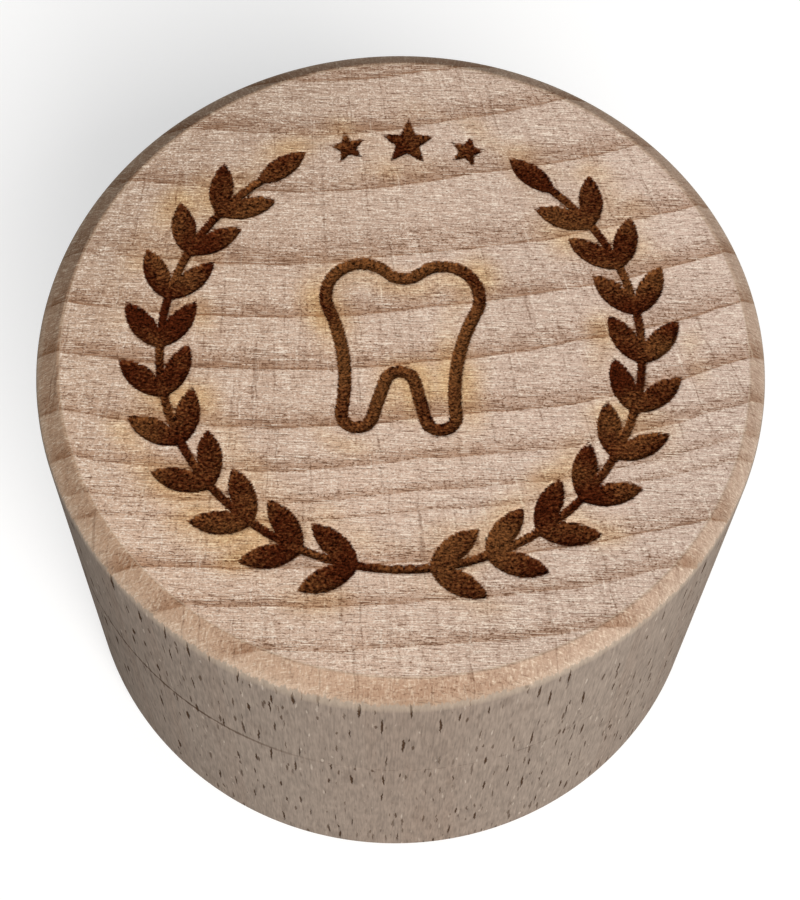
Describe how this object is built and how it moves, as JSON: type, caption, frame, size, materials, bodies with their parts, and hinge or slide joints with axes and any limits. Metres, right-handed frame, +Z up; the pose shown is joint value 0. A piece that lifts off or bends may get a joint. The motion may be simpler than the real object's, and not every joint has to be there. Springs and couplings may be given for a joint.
{
  "type": "tooth keepsake box",
  "caption": "Round turned beech box for milk teeth: a cup-shaped base with a spigot and a push-on lid, bevelled and engraved on top.",
  "frame": {"origin": "centre of the foot", "axes": "+Z up along the turning axis, -Y the front, from which the motif on the lid stands upright"},
  "size_m": [0.05, 0.05, 0.0367],
  "materials": {
    "beech_base": "sanded, raw",
    "beech_lid": "sanded, raw, laser-engraved"
  },
  "bodies": {
    "base": {"base": "beech_base"},
    "lid": {"lid": "beech_lid"}
  },
  "joints": [
    {"name": "lid_lift", "type": "slide", "parent": "base", "child": "lid", "axis": [0, 0, 1], "range_m": [0, 0.045]}
  ]
}
